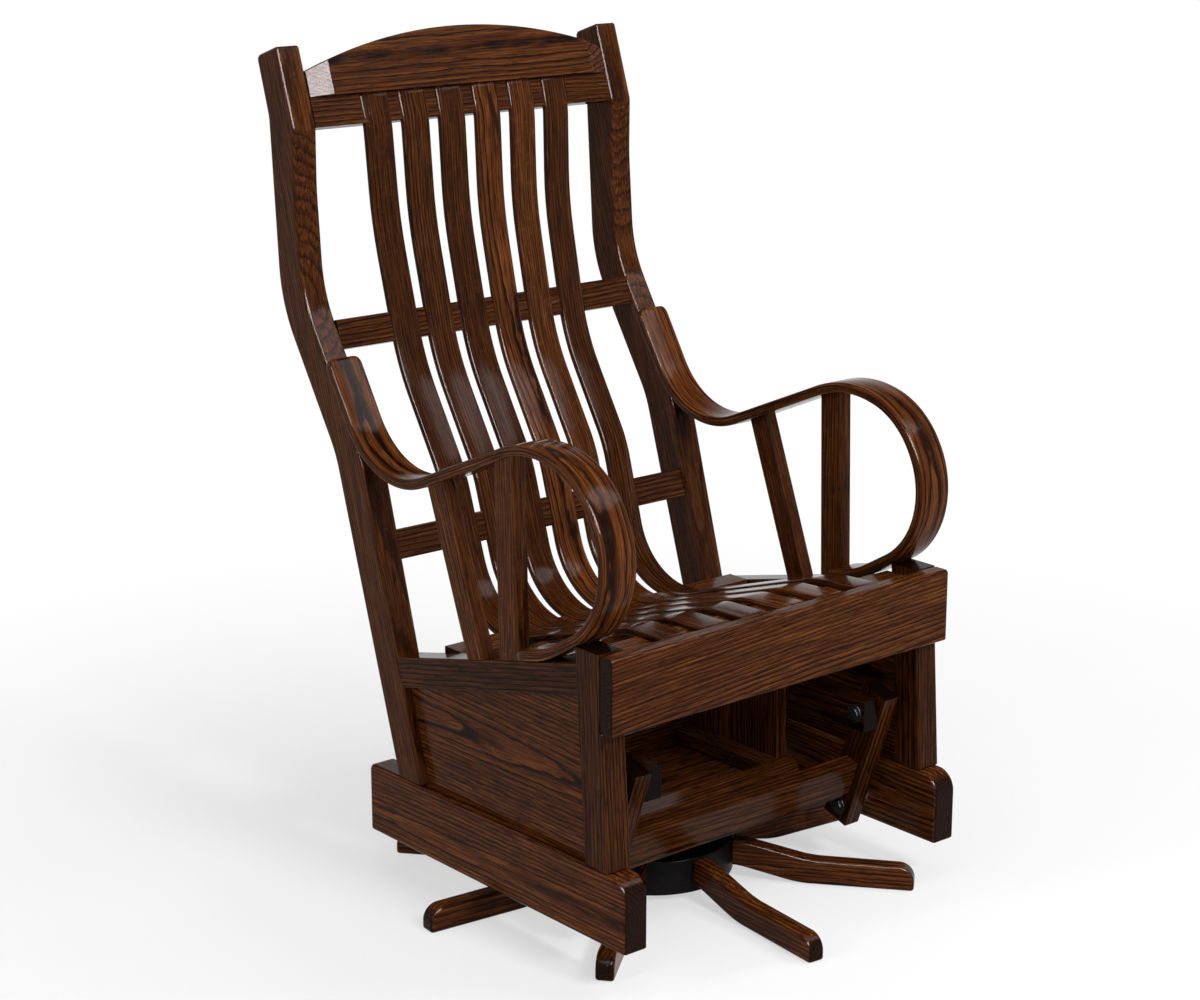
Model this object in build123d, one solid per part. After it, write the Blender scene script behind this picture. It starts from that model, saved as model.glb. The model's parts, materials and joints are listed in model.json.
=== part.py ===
from build123d import *
import math
import os

os.makedirs("parts", exist_ok=True)

# Glider rocker in oak: a slatted armchair hung on four swinging links from a frame
# that turns on an eight-legged star foot. Millimetres, +Z up, the chair faces -Y,
# and the origin is on the floor under the swivel's axis.

# Seat box, side by side
seat_half_width = 298.0
rail_thickness = 38.0
apron_thickness = 24.0
apron_bottom_z = 340.0
apron_top_z = 440.0
apron_front_y = -265.0
arris_radius = 5.0

# Runners
runner_front_y = -290.0
runner_rear_y = 253.0
runner_bottom_z = 59.5
runner_top_z = 157.5
runner_nose_radius = 28.0
runner_tail_radius = 9.0

# Front posts, leaning back a little
front_post_foot_y = -258.0
front_post_head_y = -238.5
front_post_depth = 44.0

# Rear posts: one bent board each, with the corners of its front edge and its depth
rear_post_foot_y = 133.0
rear_post_foot_depth = 52.0
rear_post_knee_y = 254.0
rear_post_knee_z = 583.0
rear_post_knee_radius = 150.0
rear_post_shoulder_y = 386.0
rear_post_shoulder_z = 793.0
rear_post_shoulder_radius = 180.0
rear_post_throat_y = 396.5
rear_post_throat_z = 935.0
rear_post_throat_radius = 300.0
rear_post_neck_y = 395.5
rear_post_neck_z = 1016.0
rear_post_neck_radius = 25.0
rear_post_head_y = 432.0
rear_post_head_z = 1125.0
rear_post_head_depth = 49.0
rear_post_head_drop = 16.0
rear_post_head_radius = 8.0
rear_post_knee_depth = 64.0
rear_post_knee_rise = 2.0
rear_post_shoulder_depth = 54.0
rear_post_shoulder_drop = 18.0
rear_post_neck_depth = 60.5
rear_post_neck_rise = 12.0
rear_post_nape_radius = 60.0
rear_post_back_radius = 200.0

# Side rails, sloping down to the rear, and the panels below them
side_rail_front_z = 420.0
side_rail_slope_angle = 13.54
side_rail_height = 42.0
panel_thickness = 12.0
panel_recess = 14.0

# Cross rails under the slats
front_seat_rail_thickness = 54.0
front_seat_rail_height = 38.0
rear_seat_rail_y = 88.0
rear_seat_rail_thickness = 38.0
rear_seat_rail_height = 62.0
slat_proud = 3.0

# Slats: one bent strip each, with the corners of its front and upper face
slat_count = 6
slat_width = 44.0
slat_thickness = 9.0
slat_spacing = 56.2
slat_spread_up_share = 0.01507
slat_spread_forward_share = 0.0216
slat_front_z = 438.0
slat_head_y = 407.0
slat_head_z = 1060.0
slat_neck_y = 394.0
slat_neck_z = 1015.0
slat_neck_radius = 120.0
slat_shoulder_y = 386.0
slat_shoulder_z = 880.0
slat_shoulder_radius = 500.0
slat_waist_y = 340.0
slat_waist_z = 690.0
slat_waist_radius = 300.0
slat_lumbar_y = 250.0
slat_lumbar_z = 545.0
slat_lumbar_radius = 200.0
slat_hip_y = 182.0
slat_hip_z = 325.0
slat_hip_radius = 108.0
slat_thigh_y = -162.0
slat_thigh_z = 434.0
slat_thigh_radius = 80.0

# Back rails and crest
back_rail_lean_angle = 17.6
back_rail_height = 41.0
back_rail_thickness = 21.0
low_rail_z = 469.5
mid_rail_z = 739.5
top_rail_z = 1036.0
crest_proud = 9.0
crest_centre_height = 83.0
crest_end_height = 37.0
crest_thickness = 24.0
crest_facet_width = 34.0
crest_facet_depth = 9.0

# Arms: a bent strip from the rear post, round in a loop, back to the side rail
arm_thickness = 14.0
arm_width = 53.0
arm_overhang = 5.0
arm_head_round = 14.0
arm_head_rise = 171.5
arm_dip_z = 541.5
arm_dip_radius = 132.0
arm_crest_y = -101.3
arm_crest_z = 678.3
arm_crest_radius = 158.0
arm_brow_y = -206.8
arm_brow_z = 652.2
arm_brow_radius = 119.0
arm_nose_y = -290.0
arm_nose_z = 504.1
arm_nose_radius = 117.0
arm_chin_y = -136.0
arm_chin_radius = 150.0

# Stiles between the side rail and the arm
stile_thickness = 21.0
front_stile_foot_y = -80.6
front_stile_lean_angle = 1.6
front_stile_depth = 39.5
rear_stile_foot_y = -8.0
rear_stile_lean_angle = 20.6
rear_stile_depth = 35.0

# Links and pivots
link_width = 45.0
link_thickness = 27.0
link_head_length = 28.0
link_tail_length = 22.0
upper_pivot_z = 246.0
lower_pivot_z = 89.5
front_upper_pivot_y = -208.0
front_lower_pivot_y = -154.0
rear_upper_pivot_y = 228.3
rear_lower_pivot_y = 200.0
stretcher_thickness = 24.0
stretcher_height = 55.0
stretcher_start = 25.0
bolt_radius = 5.0
bolt_head_sides = 6
bolt_head_radius = 9.5
bolt_head_height = 5.0
bolt_tail_inset = 4.0
spacer_radius = 9.0
spacer_length = 23.2
running_gap = 0.3
bore_clearance = 0.08
open_pivot_clearance = 2.5

# Swivel frame
frame_side_thickness = 22.0
frame_front_y = -80.0
frame_rear_y = 122.0
frame_top_z = 266.0
upper_rail_height = 44.0
upper_rail_thickness = 27.2
upper_rail_front_y = -226.0
upper_rail_rear_y = 249.0
tray_top_z = 129.0
tray_thickness = 18.0
tray_front_y = -110.0
sill_height = 21.0
side_sill_width = 34.0
rear_sill_thickness = 22.0
rear_sill_height = 32.0
front_sill_rear_y = -86.0
front_sill_depth = 37.0
front_sill_overhang = 5.0
front_sill_clip = 25.0

# Bearing and star foot
hub_radius = 113.0
hub_bottom_z = 9.0
hub_top_z = 58.0
lower_race_radius = 76.0
lower_race_height = 26.0
upper_race_radius = 84.0
spindle_radius = 12.0
spindle_rise = 22.0
leg_count = 8
leg_thickness = 25.0
leg_turn_angle = -5.6
leg_reach = 365.0
leg_toe_height = 34.5
leg_toe_radius = 22.0
leg_root_radius = 100.0
leg_root_top_z = 57.5
leg_root_bottom_z = 22.0
leg_brow_reach = 128.0
leg_brow_z = 56.5
leg_brow_radius = 100.0
leg_ankle_reach = 222.0
leg_ankle_z = 35.5
leg_ankle_radius = 160.0
leg_heel_reach = 206.0
leg_heel_radius = 160.0
leg_arch_reach = 128.0
leg_arch_z = 18.5
leg_arch_radius = 100.0


# Places worked out from the sizes above
seat_half_inner = seat_half_width - rail_thickness
apron_rear_y = apron_front_y + apron_thickness
post_foot_z = runner_top_z
link_outer = seat_half_inner - spacer_length - running_gap
link_inner = link_outer - link_thickness
upper_rail_outer = link_inner - running_gap
frame_side_outer = upper_rail_outer - upper_rail_thickness
frame_side_inner = frame_side_outer - frame_side_thickness
front_sill_half_width = frame_side_outer + front_sill_overhang
sill_top_z = tray_top_z + sill_height
tray_bottom_z = tray_top_z - tray_thickness
bolt_tail_x = seat_half_width - bolt_tail_inset


def meet(start, end, other_start, other_end):
    """Crossing of two lines in the side view."""
    run = (end[0] - start[0], end[1] - start[1])
    other = (other_end[0] - other_start[0], other_end[1] - other_start[1])
    step = (other_start[0] - start[0], other_start[1] - start[1])
    turn = run[0] * other[1] - run[1] * other[0]
    share = (step[0] * other[1] - step[1] * other[0]) / turn
    return (start[0] + run[0] * share, start[1] + run[1] * share)


def at_height(start, end, height):
    """Depth at which a line of the side view passes a height."""
    share = (height - start[1]) / (end[1] - start[1])
    return start[0] + (end[0] - start[0]) * share


def at_depth(start, end, depth):
    """Point at which a line of the side view passes a depth."""
    share = (depth - start[0]) / (end[0] - start[0])
    return (depth, start[1] + (end[1] - start[1]) * share)


def heading(start, end):
    """Unit direction from one point of the side view to another."""
    length = math.hypot(end[0] - start[0], end[1] - start[1])
    return ((end[0] - start[0]) / length, (end[1] - start[1]) / length)


def moved(point, direction, along, left=0.0):
    """A point carried along a direction and then to its left."""
    return (
        point[0] + direction[0] * along - direction[1] * left,
        point[1] + direction[1] * along + direction[0] * left,
    )


def leaning(angle):
    """Unit direction of a piece that leans back from the vertical."""
    return (math.sin(math.radians(angle)), math.cos(math.radians(angle)))


def beside(corners, radii, distance):
    """Corners and radii of the line that runs a distance to the left of a route."""
    ways = [heading(a, b) for a, b in zip(corners, corners[1:])]
    shifted = [moved(corners[0], ways[0], 0.0, distance)]
    rounds = []
    for corner, radius, before, after in zip(corners[1:], radii, ways, ways[1:]):
        cosine = before[0] * after[0] + before[1] * after[1]
        sine = before[0] * after[1] - before[1] * after[0]
        mitre = distance * math.tan(math.atan2(sine, cosine) / 2)
        shifted.append(moved(corner, before, -mitre, distance))
        rounds.append(radius - distance if sine > 0 else radius + distance)
    shifted.append(moved(corners[-1], ways[-1], 0.0, distance))
    return shifted, rounds


def strip_outline(corners, radii, left, right):
    """Closed outline of a bent strip, from one side of its route to the other."""
    near, near_radii = beside(corners, radii, left)
    far, far_radii = beside(corners, radii, right)
    points = near + far[::-1]
    rounds = [0.0, *near_radii, 0.0, 0.0, *far_radii[::-1], 0.0]
    return points, rounds


def side_board(points, radii, x_low, x_high):
    """A board cut to an outline of the side view, between two widths."""
    outline = FilletPolyline(*points, radius=radii, close=True)
    face = make_face(Plane.YZ * outline)
    return Pos(x_low, 0, 0) * extrude(face, x_high - x_low, dir=(1, 0, 0))


def square_board(points, x_low, x_high):
    """The same with sharp corners."""
    return side_board(points, [0.0] * len(points), x_low, x_high)


def block(x_low, x_high, y_low, y_high, z_low, z_high):
    """A plain board between six planes."""
    size = (x_high - x_low, y_high - y_low, z_high - z_low)
    corner = (Align.MIN, Align.MIN, Align.MIN)
    return Pos(x_low, y_low, z_low) * Box(*size, align=corner)


def cross_rod(y, z, radius, x_low, x_high):
    """A round rod lying across the chair."""
    rod = Cylinder(radius, x_high - x_low, align=(Align.CENTER, Align.CENTER, Align.MIN))
    return Pos(x_low, y, z) * Rot(0, 90, 0) * rod


def keep(name, *solids):
    """Writes one node, with its solids side by side."""
    shapes = [solid for shape in solids for solid in shape.solids()]
    for shape in shapes:
        shape.label = name
    part = shapes[0] if len(shapes) == 1 else Compound(children=shapes)
    part.label = name
    export_step(part, f"parts/{name}.step")


def keep_pair(name, solid):
    """Writes a piece of the sitter's left side and its mirror image on the right."""
    keep(f"{name}_left", solid)
    keep(f"{name}_right", mirror(solid, Plane.YZ))


# Lines of the side view that more than one piece follows
front_post_front = ((front_post_foot_y, post_foot_z), (front_post_head_y, apron_top_z))
front_post_rear = tuple((y + front_post_depth, z) for y, z in front_post_front)
post_knee = (rear_post_knee_y, rear_post_knee_z)
post_shoulder = (rear_post_shoulder_y, rear_post_shoulder_z)
rear_post_front = ((rear_post_foot_y, post_foot_z), post_knee)
rail_way = (math.cos(math.radians(side_rail_slope_angle)), -math.sin(math.radians(side_rail_slope_angle)))
rail_top_start = (at_height(*front_post_rear, side_rail_front_z), side_rail_front_z)
rail_top = (rail_top_start, moved(rail_top_start, rail_way, seat_half_width))
rail_foot = tuple(moved(point, rail_way, 0.0, -side_rail_height) for point in rail_top)

slat_corners = [
    (slat_head_y, slat_head_z),
    (slat_neck_y, slat_neck_z),
    (slat_shoulder_y, slat_shoulder_z),
    (slat_waist_y, slat_waist_z),
    (slat_lumbar_y, slat_lumbar_z),
    (slat_hip_y, slat_hip_z),
    (slat_thigh_y, slat_thigh_z),
    (apron_rear_y - slat_thickness, slat_front_z),
]
slat_radii = [
    slat_neck_radius,
    slat_shoulder_radius,
    slat_waist_radius,
    slat_lumbar_radius,
    slat_hip_radius,
    slat_thigh_radius,
]


def slat_face_y(height):
    """Depth of the slats' front face at a height of the back."""
    for upper, lower in zip(slat_corners, slat_corners[1:]):
        if lower[1] <= height <= upper[1]:
            return at_height(lower, upper, height)
    return slat_head_y


def slat_top_z(depth):
    """Height of the slats' upper face at a depth of the seat."""
    hip, thigh = (slat_hip_y, slat_hip_z), (slat_thigh_y, slat_thigh_z)
    return hip[1] + (thigh[1] - hip[1]) * (hip[0] - depth) / (hip[0] - thigh[0])


def make_runner():
    points = [
        (runner_front_y, runner_bottom_z),
        (runner_rear_y, runner_bottom_z),
        (runner_rear_y, runner_top_z),
        (runner_front_y, runner_top_z),
    ]
    radii = [0.0, 0.0, runner_tail_radius, runner_nose_radius]
    runner = side_board(points, radii, seat_half_inner, seat_half_width)
    for y in (front_lower_pivot_y, rear_lower_pivot_y):
        runner -= cross_rod(
            y, lower_pivot_z, bolt_radius + bore_clearance, seat_half_inner, bolt_tail_x
        )
    return runner


def make_apron():
    points = [
        (apron_front_y, apron_bottom_z),
        (apron_rear_y, apron_bottom_z),
        (apron_rear_y, apron_top_z),
        (apron_front_y, apron_top_z),
    ]
    return side_board(points, [0.0, 0.0, 0.0, arris_radius], -seat_half_width, seat_half_width)


def make_front_post(apron, arm):
    """A post housed behind the apron, with its top corner let in under the arm."""
    points = [*front_post_front, *front_post_rear[::-1]]
    post = square_board(points, seat_half_inner, seat_half_width) - apron - arm
    return post.solids().sort_by(Axis.Z)[0]


def make_rear_post():
    throat = (rear_post_throat_y, rear_post_throat_z)
    neck = (rear_post_neck_y, rear_post_neck_z)
    head = (rear_post_head_y, rear_post_head_z)
    back_head = (head[0] + rear_post_head_depth, head[1] - rear_post_head_drop)
    nape = (neck[0] + rear_post_neck_depth, neck[1] + rear_post_neck_rise)
    back_shoulder = (
        post_shoulder[0] + rear_post_shoulder_depth,
        post_shoulder[1] - rear_post_shoulder_drop,
    )
    back_knee = (post_knee[0] + rear_post_knee_depth, post_knee[1] + rear_post_knee_rise)
    back_foot = (rear_post_foot_y + rear_post_foot_depth, post_foot_z)
    points = [
        (rear_post_foot_y, post_foot_z),
        post_knee,
        post_shoulder,
        throat,
        neck,
        head,
        back_head,
        nape,
        back_shoulder,
        back_knee,
        back_foot,
    ]
    radii = [
        0.0,
        rear_post_knee_radius,
        rear_post_shoulder_radius,
        rear_post_throat_radius,
        rear_post_neck_radius,
        0.0,
        rear_post_head_radius,
        rear_post_nape_radius,
        rear_post_back_radius,
        rear_post_knee_radius,
        0.0,
    ]
    return side_board(points, radii, seat_half_inner, seat_half_width)


def make_side_rail():
    points = [
        meet(*rail_top, *front_post_rear),
        meet(*rail_top, *rear_post_front),
        meet(*rail_foot, *rear_post_front),
        meet(*rail_foot, *front_post_rear),
    ]
    return square_board(points, seat_half_inner, seat_half_width)


def make_side_panel():
    points = [
        meet(*rail_foot, *front_post_rear),
        meet(*rail_foot, *rear_post_front),
        rear_post_front[0],
        front_post_rear[0],
    ]
    outer = seat_half_width - panel_recess
    return square_board(points, outer - panel_thickness, outer)


def make_slat(place, apron):
    """One slat, turned a little so that the row fans out to the front and the top."""
    points, radii = strip_outline(slat_corners, slat_radii, 0.0, slat_thickness)
    blank = side_board(points, radii, -slat_width / 2, slat_width / 2)
    tilt = math.degrees(math.atan(place * slat_spread_up_share))
    splay = math.degrees(math.atan(place * slat_spread_forward_share))
    centre = (slat_hip_y, slat_hip_z)
    spread = slat_spacing + slat_spread_up_share * centre[1] - slat_spread_forward_share * centre[0]
    turned = Rot(0, 0, splay) * Rot(0, tilt, 0) * Pos(0, -centre[0], -centre[1]) * blank
    return Pos(place * spread, *centre) * turned - apron


def make_cross_rail(top_y, top_z, thickness, height):
    return block(-seat_half_inner, seat_half_inner, top_y, top_y + thickness, top_z - height, top_z)


def back_rail_front(height):
    """Lower and upper front edge of a back rail, and the way it leans."""
    way = leaning(back_rail_lean_angle)
    centre = (slat_face_y(height) + slat_proud, height)
    half = back_rail_height / 2
    return moved(centre, way, -half), moved(centre, way, half), way


def make_back_rail(height):
    """A rail across the back, square to the lean of the back, behind the slats."""
    foot, head, way = back_rail_front(height)
    points = [
        foot,
        moved(foot, way, 0.0, -back_rail_thickness),
        moved(head, way, 0.0, -back_rail_thickness),
        head,
    ]
    return square_board(points, -seat_half_inner, seat_half_inner)


def make_crest():
    """The top board: an arched upper edge, and a facet turned back at each end."""
    half = seat_half_inner
    ends = half - crest_facet_width
    plan = Polyline(
        (-ends, 0),
        (ends, 0),
        (half, crest_facet_depth),
        (half, crest_thickness),
        (-half, crest_thickness),
        (-half, crest_facet_depth),
        close=True,
    )
    body = extrude(make_face(plan), crest_centre_height)
    base = Line((-half, 0), (half, 0))
    sides = [
        Line((half, 0), (half, crest_end_height)),
        Line((-half, crest_end_height), (-half, 0)),
    ]
    arch = ThreePointArc((half, crest_end_height), (0, crest_centre_height), (-half, crest_end_height))
    front = make_face(Plane.XZ * Curve([base, sides[0], arch, sides[1]]))
    body &= extrude(front, crest_thickness, dir=(0, 1, 0))
    _, rail_head, way = back_rail_front(top_rail_z)
    base_y, base_z = moved(rail_head, way, 0.0, crest_proud)
    return Pos(0, base_y, base_z) * Rot(-back_rail_lean_angle, 0, 0) * body


def arm_route():
    """Centre line of the arm, from its head on the rear post to its tail on the rail."""
    post_way = heading(post_knee, post_shoulder)
    on_post = (
        moved(post_knee, post_way, 0.0, arm_thickness / 2),
        moved(post_shoulder, post_way, 0.0, arm_thickness / 2),
    )
    on_rail = tuple(moved(point, rail_way, 0.0, arm_thickness / 2) for point in rail_top)
    tail_y = front_stile_foot_y - arm_thickness * math.sin(math.radians(side_rail_slope_angle))
    head_z = arm_dip_z + arm_head_rise
    head = (at_height(*on_post, head_z), head_z)
    dip = (at_height(*on_post, arm_dip_z), arm_dip_z)
    return [
        head,
        dip,
        (arm_crest_y, arm_crest_z),
        (arm_brow_y, arm_brow_z),
        (arm_nose_y, arm_nose_z),
        at_depth(*on_rail, arm_chin_y),
        at_depth(*on_rail, tail_y),
    ]


def make_arm():
    radii = [arm_dip_radius, arm_crest_radius, arm_brow_radius, arm_nose_radius, arm_chin_radius]
    half = arm_thickness / 2
    points, rounds = strip_outline(arm_route(), radii, half, -half)
    outer = seat_half_width + arm_overhang
    strip = side_board(points, rounds, outer - arm_width, outer)
    end = strip.faces().sort_by(Axis.Z)[-1]
    return fillet(end.edges().group_by(SortBy.LENGTH)[0], arm_head_round)


def make_stile(foot_y, lean, depth, arm):
    """An upright scribed to the arm's underside; only the length below it is kept."""
    way = leaning(lean)
    foot = at_depth(*rail_top, foot_y)
    length = arm_crest_z - post_foot_z
    back_line = (moved(foot, way, 0.0, -depth), moved(foot, way, length, -depth))
    back = meet(*rail_top, *back_line)
    points = [foot, back, back_line[1], moved(foot, way, length)]
    blank = square_board(points, seat_half_width - stile_thickness, seat_half_width)
    return (blank - arm).solids().sort_by(Axis.Z)[0]


def link_line(upper_y, lower_y):
    """Lower and upper pivot of a link, and the direction between them."""
    lower = (lower_y, lower_pivot_z)
    upper = (upper_y, upper_pivot_z)
    return lower, upper, heading(lower, upper)


def make_link(upper_y, lower_y, lower_clearance):
    lower, upper, way = link_line(upper_y, lower_y)
    foot = moved(lower, way, -link_tail_length)
    head = moved(upper, way, link_head_length)
    half = link_width / 2
    points = [
        moved(foot, way, 0.0, half),
        moved(foot, way, 0.0, -half),
        moved(head, way, 0.0, -half),
        moved(head, way, 0.0, half),
    ]
    link = square_board(points, link_inner, link_outer)
    for pivot, clearance in ((lower, lower_clearance), (upper, bore_clearance)):
        link -= cross_rod(*pivot, bolt_radius + clearance, link_inner, link_outer)
    return link


def make_stretcher(upper_y, lower_y):
    """The board that ties two links together, leaning as they do."""
    lower, upper, way = link_line(upper_y, lower_y)
    foot = moved(lower, way, stretcher_start)
    head = moved(foot, way, stretcher_height)
    half = stretcher_thickness / 2
    points = [
        moved(foot, way, 0.0, half),
        moved(foot, way, 0.0, -half),
        moved(head, way, 0.0, -half),
        moved(head, way, 0.0, half),
    ]
    return square_board(points, -link_inner, link_inner)


def make_bolt(y, z, head_x, tail_x):
    """A pivot bolt with its hexagon head on the inner side."""
    hexagon = extrude(Plane.YZ * RegularPolygon(bolt_head_radius, bolt_head_sides), bolt_head_height)
    head = Pos(head_x - bolt_head_height, y, z) * hexagon
    return head + cross_rod(y, z, bolt_radius, head_x, tail_x)


def make_lower_bolt(y):
    """The lower bolt and the tube that keeps the link off the runner."""
    spacer = cross_rod(y, lower_pivot_z, spacer_radius, link_outer + running_gap, seat_half_inner)
    bolt = make_bolt(y, lower_pivot_z, link_inner - running_gap, bolt_tail_x)
    return bolt + spacer


def make_frame_side():
    return block(
        frame_side_inner, frame_side_outer, frame_front_y, frame_rear_y, tray_bottom_z, frame_top_z
    )


def make_upper_rail():
    rail = block(
        frame_side_outer,
        upper_rail_outer,
        upper_rail_front_y,
        upper_rail_rear_y,
        frame_top_z - upper_rail_height,
        frame_top_z,
    )
    for y in (front_upper_pivot_y, rear_upper_pivot_y):
        rail -= cross_rod(
            y, upper_pivot_z, bolt_radius + bore_clearance, frame_side_outer, upper_rail_outer
        )
    return rail


def make_front_sill():
    front_y = front_sill_rear_y - front_sill_depth
    half = front_sill_half_width
    plan = Polyline(
        (-half, front_sill_rear_y),
        (half, front_sill_rear_y),
        (half - front_sill_clip, front_y),
        (front_sill_clip - half, front_y),
        close=True,
    )
    return Pos(0, 0, tray_top_z) * extrude(make_face(plan), sill_height)


def make_hub():
    height = hub_top_z - hub_bottom_z
    disc = Cylinder(hub_radius, height, align=(Align.CENTER, Align.CENTER, Align.MIN))
    return Pos(0, 0, hub_bottom_z) * disc


def make_leg(turn, hub):
    points = [
        (leg_root_radius, leg_root_top_z),
        (leg_brow_reach, leg_brow_z),
        (leg_ankle_reach, leg_ankle_z),
        (leg_reach, leg_toe_height),
        (leg_reach, 0.0),
        (leg_heel_reach, 0.0),
        (leg_arch_reach, leg_arch_z),
        (leg_root_radius, leg_root_bottom_z),
    ]
    radii = [
        0.0,
        leg_brow_radius,
        leg_ankle_radius,
        leg_toe_radius,
        0.0,
        leg_heel_radius,
        leg_arch_radius,
        0.0,
    ]
    leg = side_board(points, radii, -leg_thickness / 2, leg_thickness / 2)
    return Rot(0, 0, turn - 90) * leg - hub


def make_lower_race():
    centred = (Align.CENTER, Align.CENTER, Align.MIN)
    disc = Cylinder(lower_race_radius, lower_race_height, align=centred)
    spindle = Cylinder(spindle_radius, lower_race_height + spindle_rise, align=centred)
    return Pos(0, 0, hub_top_z) * (disc + spindle)


def make_upper_race():
    centred = (Align.CENTER, Align.CENTER, Align.MIN)
    foot_z = hub_top_z + lower_race_height + running_gap
    disc = Cylinder(upper_race_radius, tray_bottom_z - foot_z, align=centred)
    bore = Cylinder(spindle_radius + bore_clearance, tray_bottom_z - foot_z, align=centred)
    return Pos(0, 0, foot_z) * (disc - bore)


hub = make_hub()
keep("star_hub", hub)
for index in range(leg_count):
    keep(f"star_leg_{index + 1}", make_leg(leg_turn_angle + index * 360 / leg_count, hub))
keep("lower_race", make_lower_race())

keep("upper_race", make_upper_race())
keep(
    "tray_floor",
    block(-frame_side_inner, frame_side_inner, tray_front_y, frame_rear_y, tray_bottom_z, tray_top_z),
)
keep_pair(
    "side_sill",
    block(
        frame_side_inner - side_sill_width,
        frame_side_inner,
        front_sill_rear_y,
        frame_rear_y - rear_sill_thickness,
        tray_top_z,
        sill_top_z,
    ),
)
keep("front_sill", make_front_sill())
keep(
    "rear_sill",
    block(
        -frame_side_inner,
        frame_side_inner,
        frame_rear_y - rear_sill_thickness,
        frame_rear_y,
        tray_top_z,
        tray_top_z + rear_sill_height,
    ),
)
keep_pair("frame_side", make_frame_side())
keep_pair("upper_rail", make_upper_rail())

for end, upper_y, lower_y, lower_clearance in (
    ("front", front_upper_pivot_y, front_lower_pivot_y, bore_clearance),
    ("rear", rear_upper_pivot_y, rear_lower_pivot_y, open_pivot_clearance),
):
    keep_pair(f"{end}_link", make_link(upper_y, lower_y, lower_clearance))
    keep(f"{end}_stretcher", make_stretcher(upper_y, lower_y))
    upper_bolt = make_bolt(upper_y, upper_pivot_z, frame_side_outer, link_outer)
    keep(f"{end}_upper_bolts", upper_bolt, mirror(upper_bolt, Plane.YZ))
    lower_bolt = make_lower_bolt(lower_y)
    keep(f"{end}_lower_bolts", lower_bolt, mirror(lower_bolt, Plane.YZ))

apron = make_apron()
keep("apron", apron)
keep_pair("runner", make_runner())
keep_pair("rear_post", make_rear_post())
keep_pair("side_rail", make_side_rail())
keep_pair("side_panel", make_side_panel())
arm = make_arm()
keep_pair("arm", arm)
keep_pair("front_post", make_front_post(apron, arm))
keep_pair("front_stile", make_stile(front_stile_foot_y, front_stile_lean_angle, front_stile_depth, arm))
keep_pair("rear_stile", make_stile(rear_stile_foot_y, rear_stile_lean_angle, rear_stile_depth, arm))

places = [index - (slat_count - 1) / 2 for index in range(slat_count)]
slats = [make_slat(place, apron) for place in places]
for number, slat in enumerate(slats, 1):
    keep(f"slat_{number}", slat)
rear_rail_top_z = slat_top_z(rear_seat_rail_y) - slat_proud
rails = {
    "front_seat_rail": make_cross_rail(
        apron_rear_y,
        slat_front_z - slat_thickness,
        front_seat_rail_thickness,
        front_seat_rail_height,
    ),
    "rear_seat_rail": make_cross_rail(
        rear_seat_rail_y, rear_rail_top_z, rear_seat_rail_thickness, rear_seat_rail_height
    ),
    "low_back_rail": make_back_rail(low_rail_z),
    "mid_back_rail": make_back_rail(mid_rail_z),
    "top_back_rail": make_back_rail(top_rail_z),
}
for name, rail in rails.items():
    for slat in slats:
        rail -= slat
    keep(name, rail)
crest = make_crest()
for slat in slats:
    crest -= slat
keep("crest_rail", crest)
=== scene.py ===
import json
import math
import bpy
import bmesh
import numpy as np
from mathutils import Matrix, Vector


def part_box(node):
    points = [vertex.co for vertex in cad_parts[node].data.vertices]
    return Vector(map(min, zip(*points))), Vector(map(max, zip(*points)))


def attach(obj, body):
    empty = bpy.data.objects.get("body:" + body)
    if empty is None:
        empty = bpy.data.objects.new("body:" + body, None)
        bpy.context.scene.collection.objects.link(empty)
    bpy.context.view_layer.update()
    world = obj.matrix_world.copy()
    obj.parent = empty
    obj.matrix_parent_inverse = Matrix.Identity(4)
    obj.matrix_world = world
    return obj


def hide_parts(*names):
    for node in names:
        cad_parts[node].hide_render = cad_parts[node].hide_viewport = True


# A slatted oak glider rocker, stained dark walnut, on a swivelling star foot.
# Metres, +Z up, the chair faces -Y.

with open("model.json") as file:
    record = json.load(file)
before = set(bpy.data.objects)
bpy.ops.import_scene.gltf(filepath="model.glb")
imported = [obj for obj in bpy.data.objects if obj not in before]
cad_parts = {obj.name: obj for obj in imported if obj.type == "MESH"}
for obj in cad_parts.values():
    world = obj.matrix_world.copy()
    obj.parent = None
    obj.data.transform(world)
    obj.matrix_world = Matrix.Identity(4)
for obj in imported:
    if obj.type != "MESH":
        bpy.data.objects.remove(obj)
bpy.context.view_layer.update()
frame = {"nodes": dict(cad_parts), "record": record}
record = frame["record"]
bodyOf = {node: body for body, nodes in record["behaviour"]["bodies"].items() for node in nodes}
print("frame loaded:", len(bodyOf), "nodes")

bpy.context.scene.view_settings.view_transform = "Standard"


def addObject(name, data):
    thing = bpy.data.objects.new(name, data)
    bpy.context.scene.collection.objects.link(thing)
    return thing


def turnOutwards(mesh):
    # every face's normal is made to point out of its closed shell
    build = bmesh.new()
    build.from_mesh(mesh)
    bmesh.ops.recalc_face_normals(build, faces=build.faces)
    build.to_mesh(mesh)
    build.free()


# camera, found from the photograph: metres, degrees, and pixels of a 1200 by 1000 frame
camera = {
    "place": (-2.2339, -2.5461, 1.4519),
    "azimuth": -40.04,
    "elevation": 15.16,
    "focalPixels": 2610.4,
    "frameWidth": 1200,
    "sensor": 36.0,
    "farClip": 200.0,
}


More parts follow.
